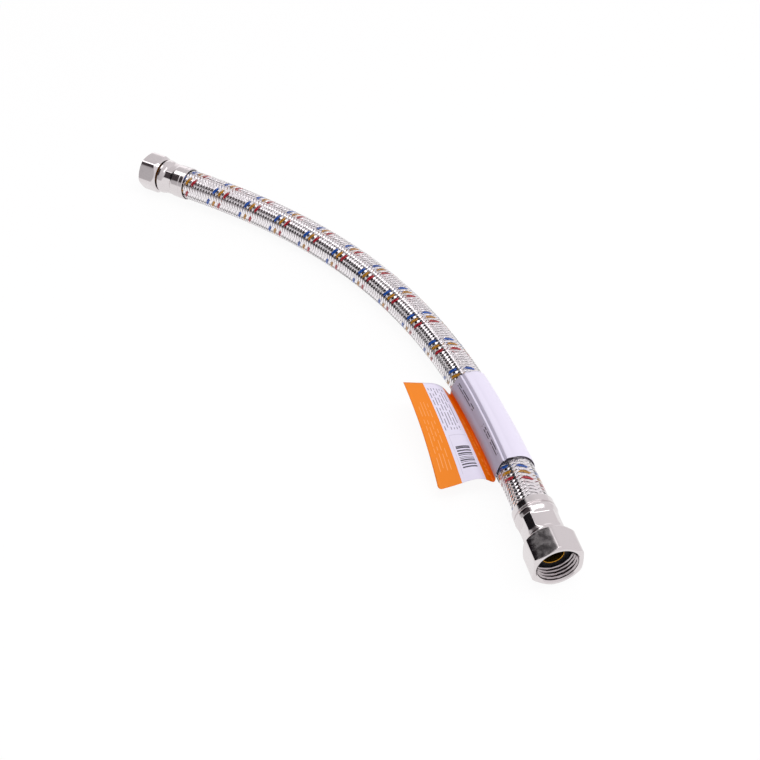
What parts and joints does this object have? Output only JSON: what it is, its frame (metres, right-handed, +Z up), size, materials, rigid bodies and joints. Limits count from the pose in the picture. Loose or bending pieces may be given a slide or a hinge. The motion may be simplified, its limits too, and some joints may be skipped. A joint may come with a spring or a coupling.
{
  "type": "gas flex hose",
  "caption": "Short braided gas hose in a clear jacket, lying in a curve, with a crimped ferrule and a swivel nut at each end and a flag label wrapped round it.",
  "frame": {"origin": "middle of the bounding box in plan, on the surface that the hose lies on", "axes": "+Z up from that surface; -Y is the front, where the larger nut points; the hose's length runs mostly along Y"},
  "size_m": [0.2483, 0.3423, 0.0276],
  "materials": {
    "clear_vinyl": "clear, smooth and glossy",
    "steel_wire": "bright drawn wire, with blue, yellow and red tracer strands",
    "black_rubber": "matt",
    "nickel_plate": "bright nickel plate",
    "brass": "turned",
    "label_film": "satin film, white and orange"
  },
  "bodies": {
    "hose": {"clear_jacket": "clear_vinyl", "wire_braid": "steel_wire", "rubber_tube": "black_rubber", "front_ferrule": "nickel_plate", "front_insert": "brass", "front_gasket": "black_rubber", "rear_ferrule": "nickel_plate", "rear_insert": "brass", "rear_gasket": "black_rubber", "label": "label_film"},
    "front_nut": {"front_nut": "nickel_plate"},
    "rear_nut": {"rear_nut": "nickel_plate"}
  },
  "joints": [
    {"name": "front_nut_spin", "type": "hinge", "parent": "hose", "child": "front_nut", "pos_m": [0.1088, -0.15747, 0.0139], "axis": [0.2399, -0.9708, 0], "continuous": true},
    {"name": "rear_nut_spin", "type": "hinge", "parent": "hose", "child": "rear_nut", "pos_m": [-0.11181, 0.15555, 0.011], "axis": [-0.8671, 0.4981, 0], "continuous": true}
  ]
}
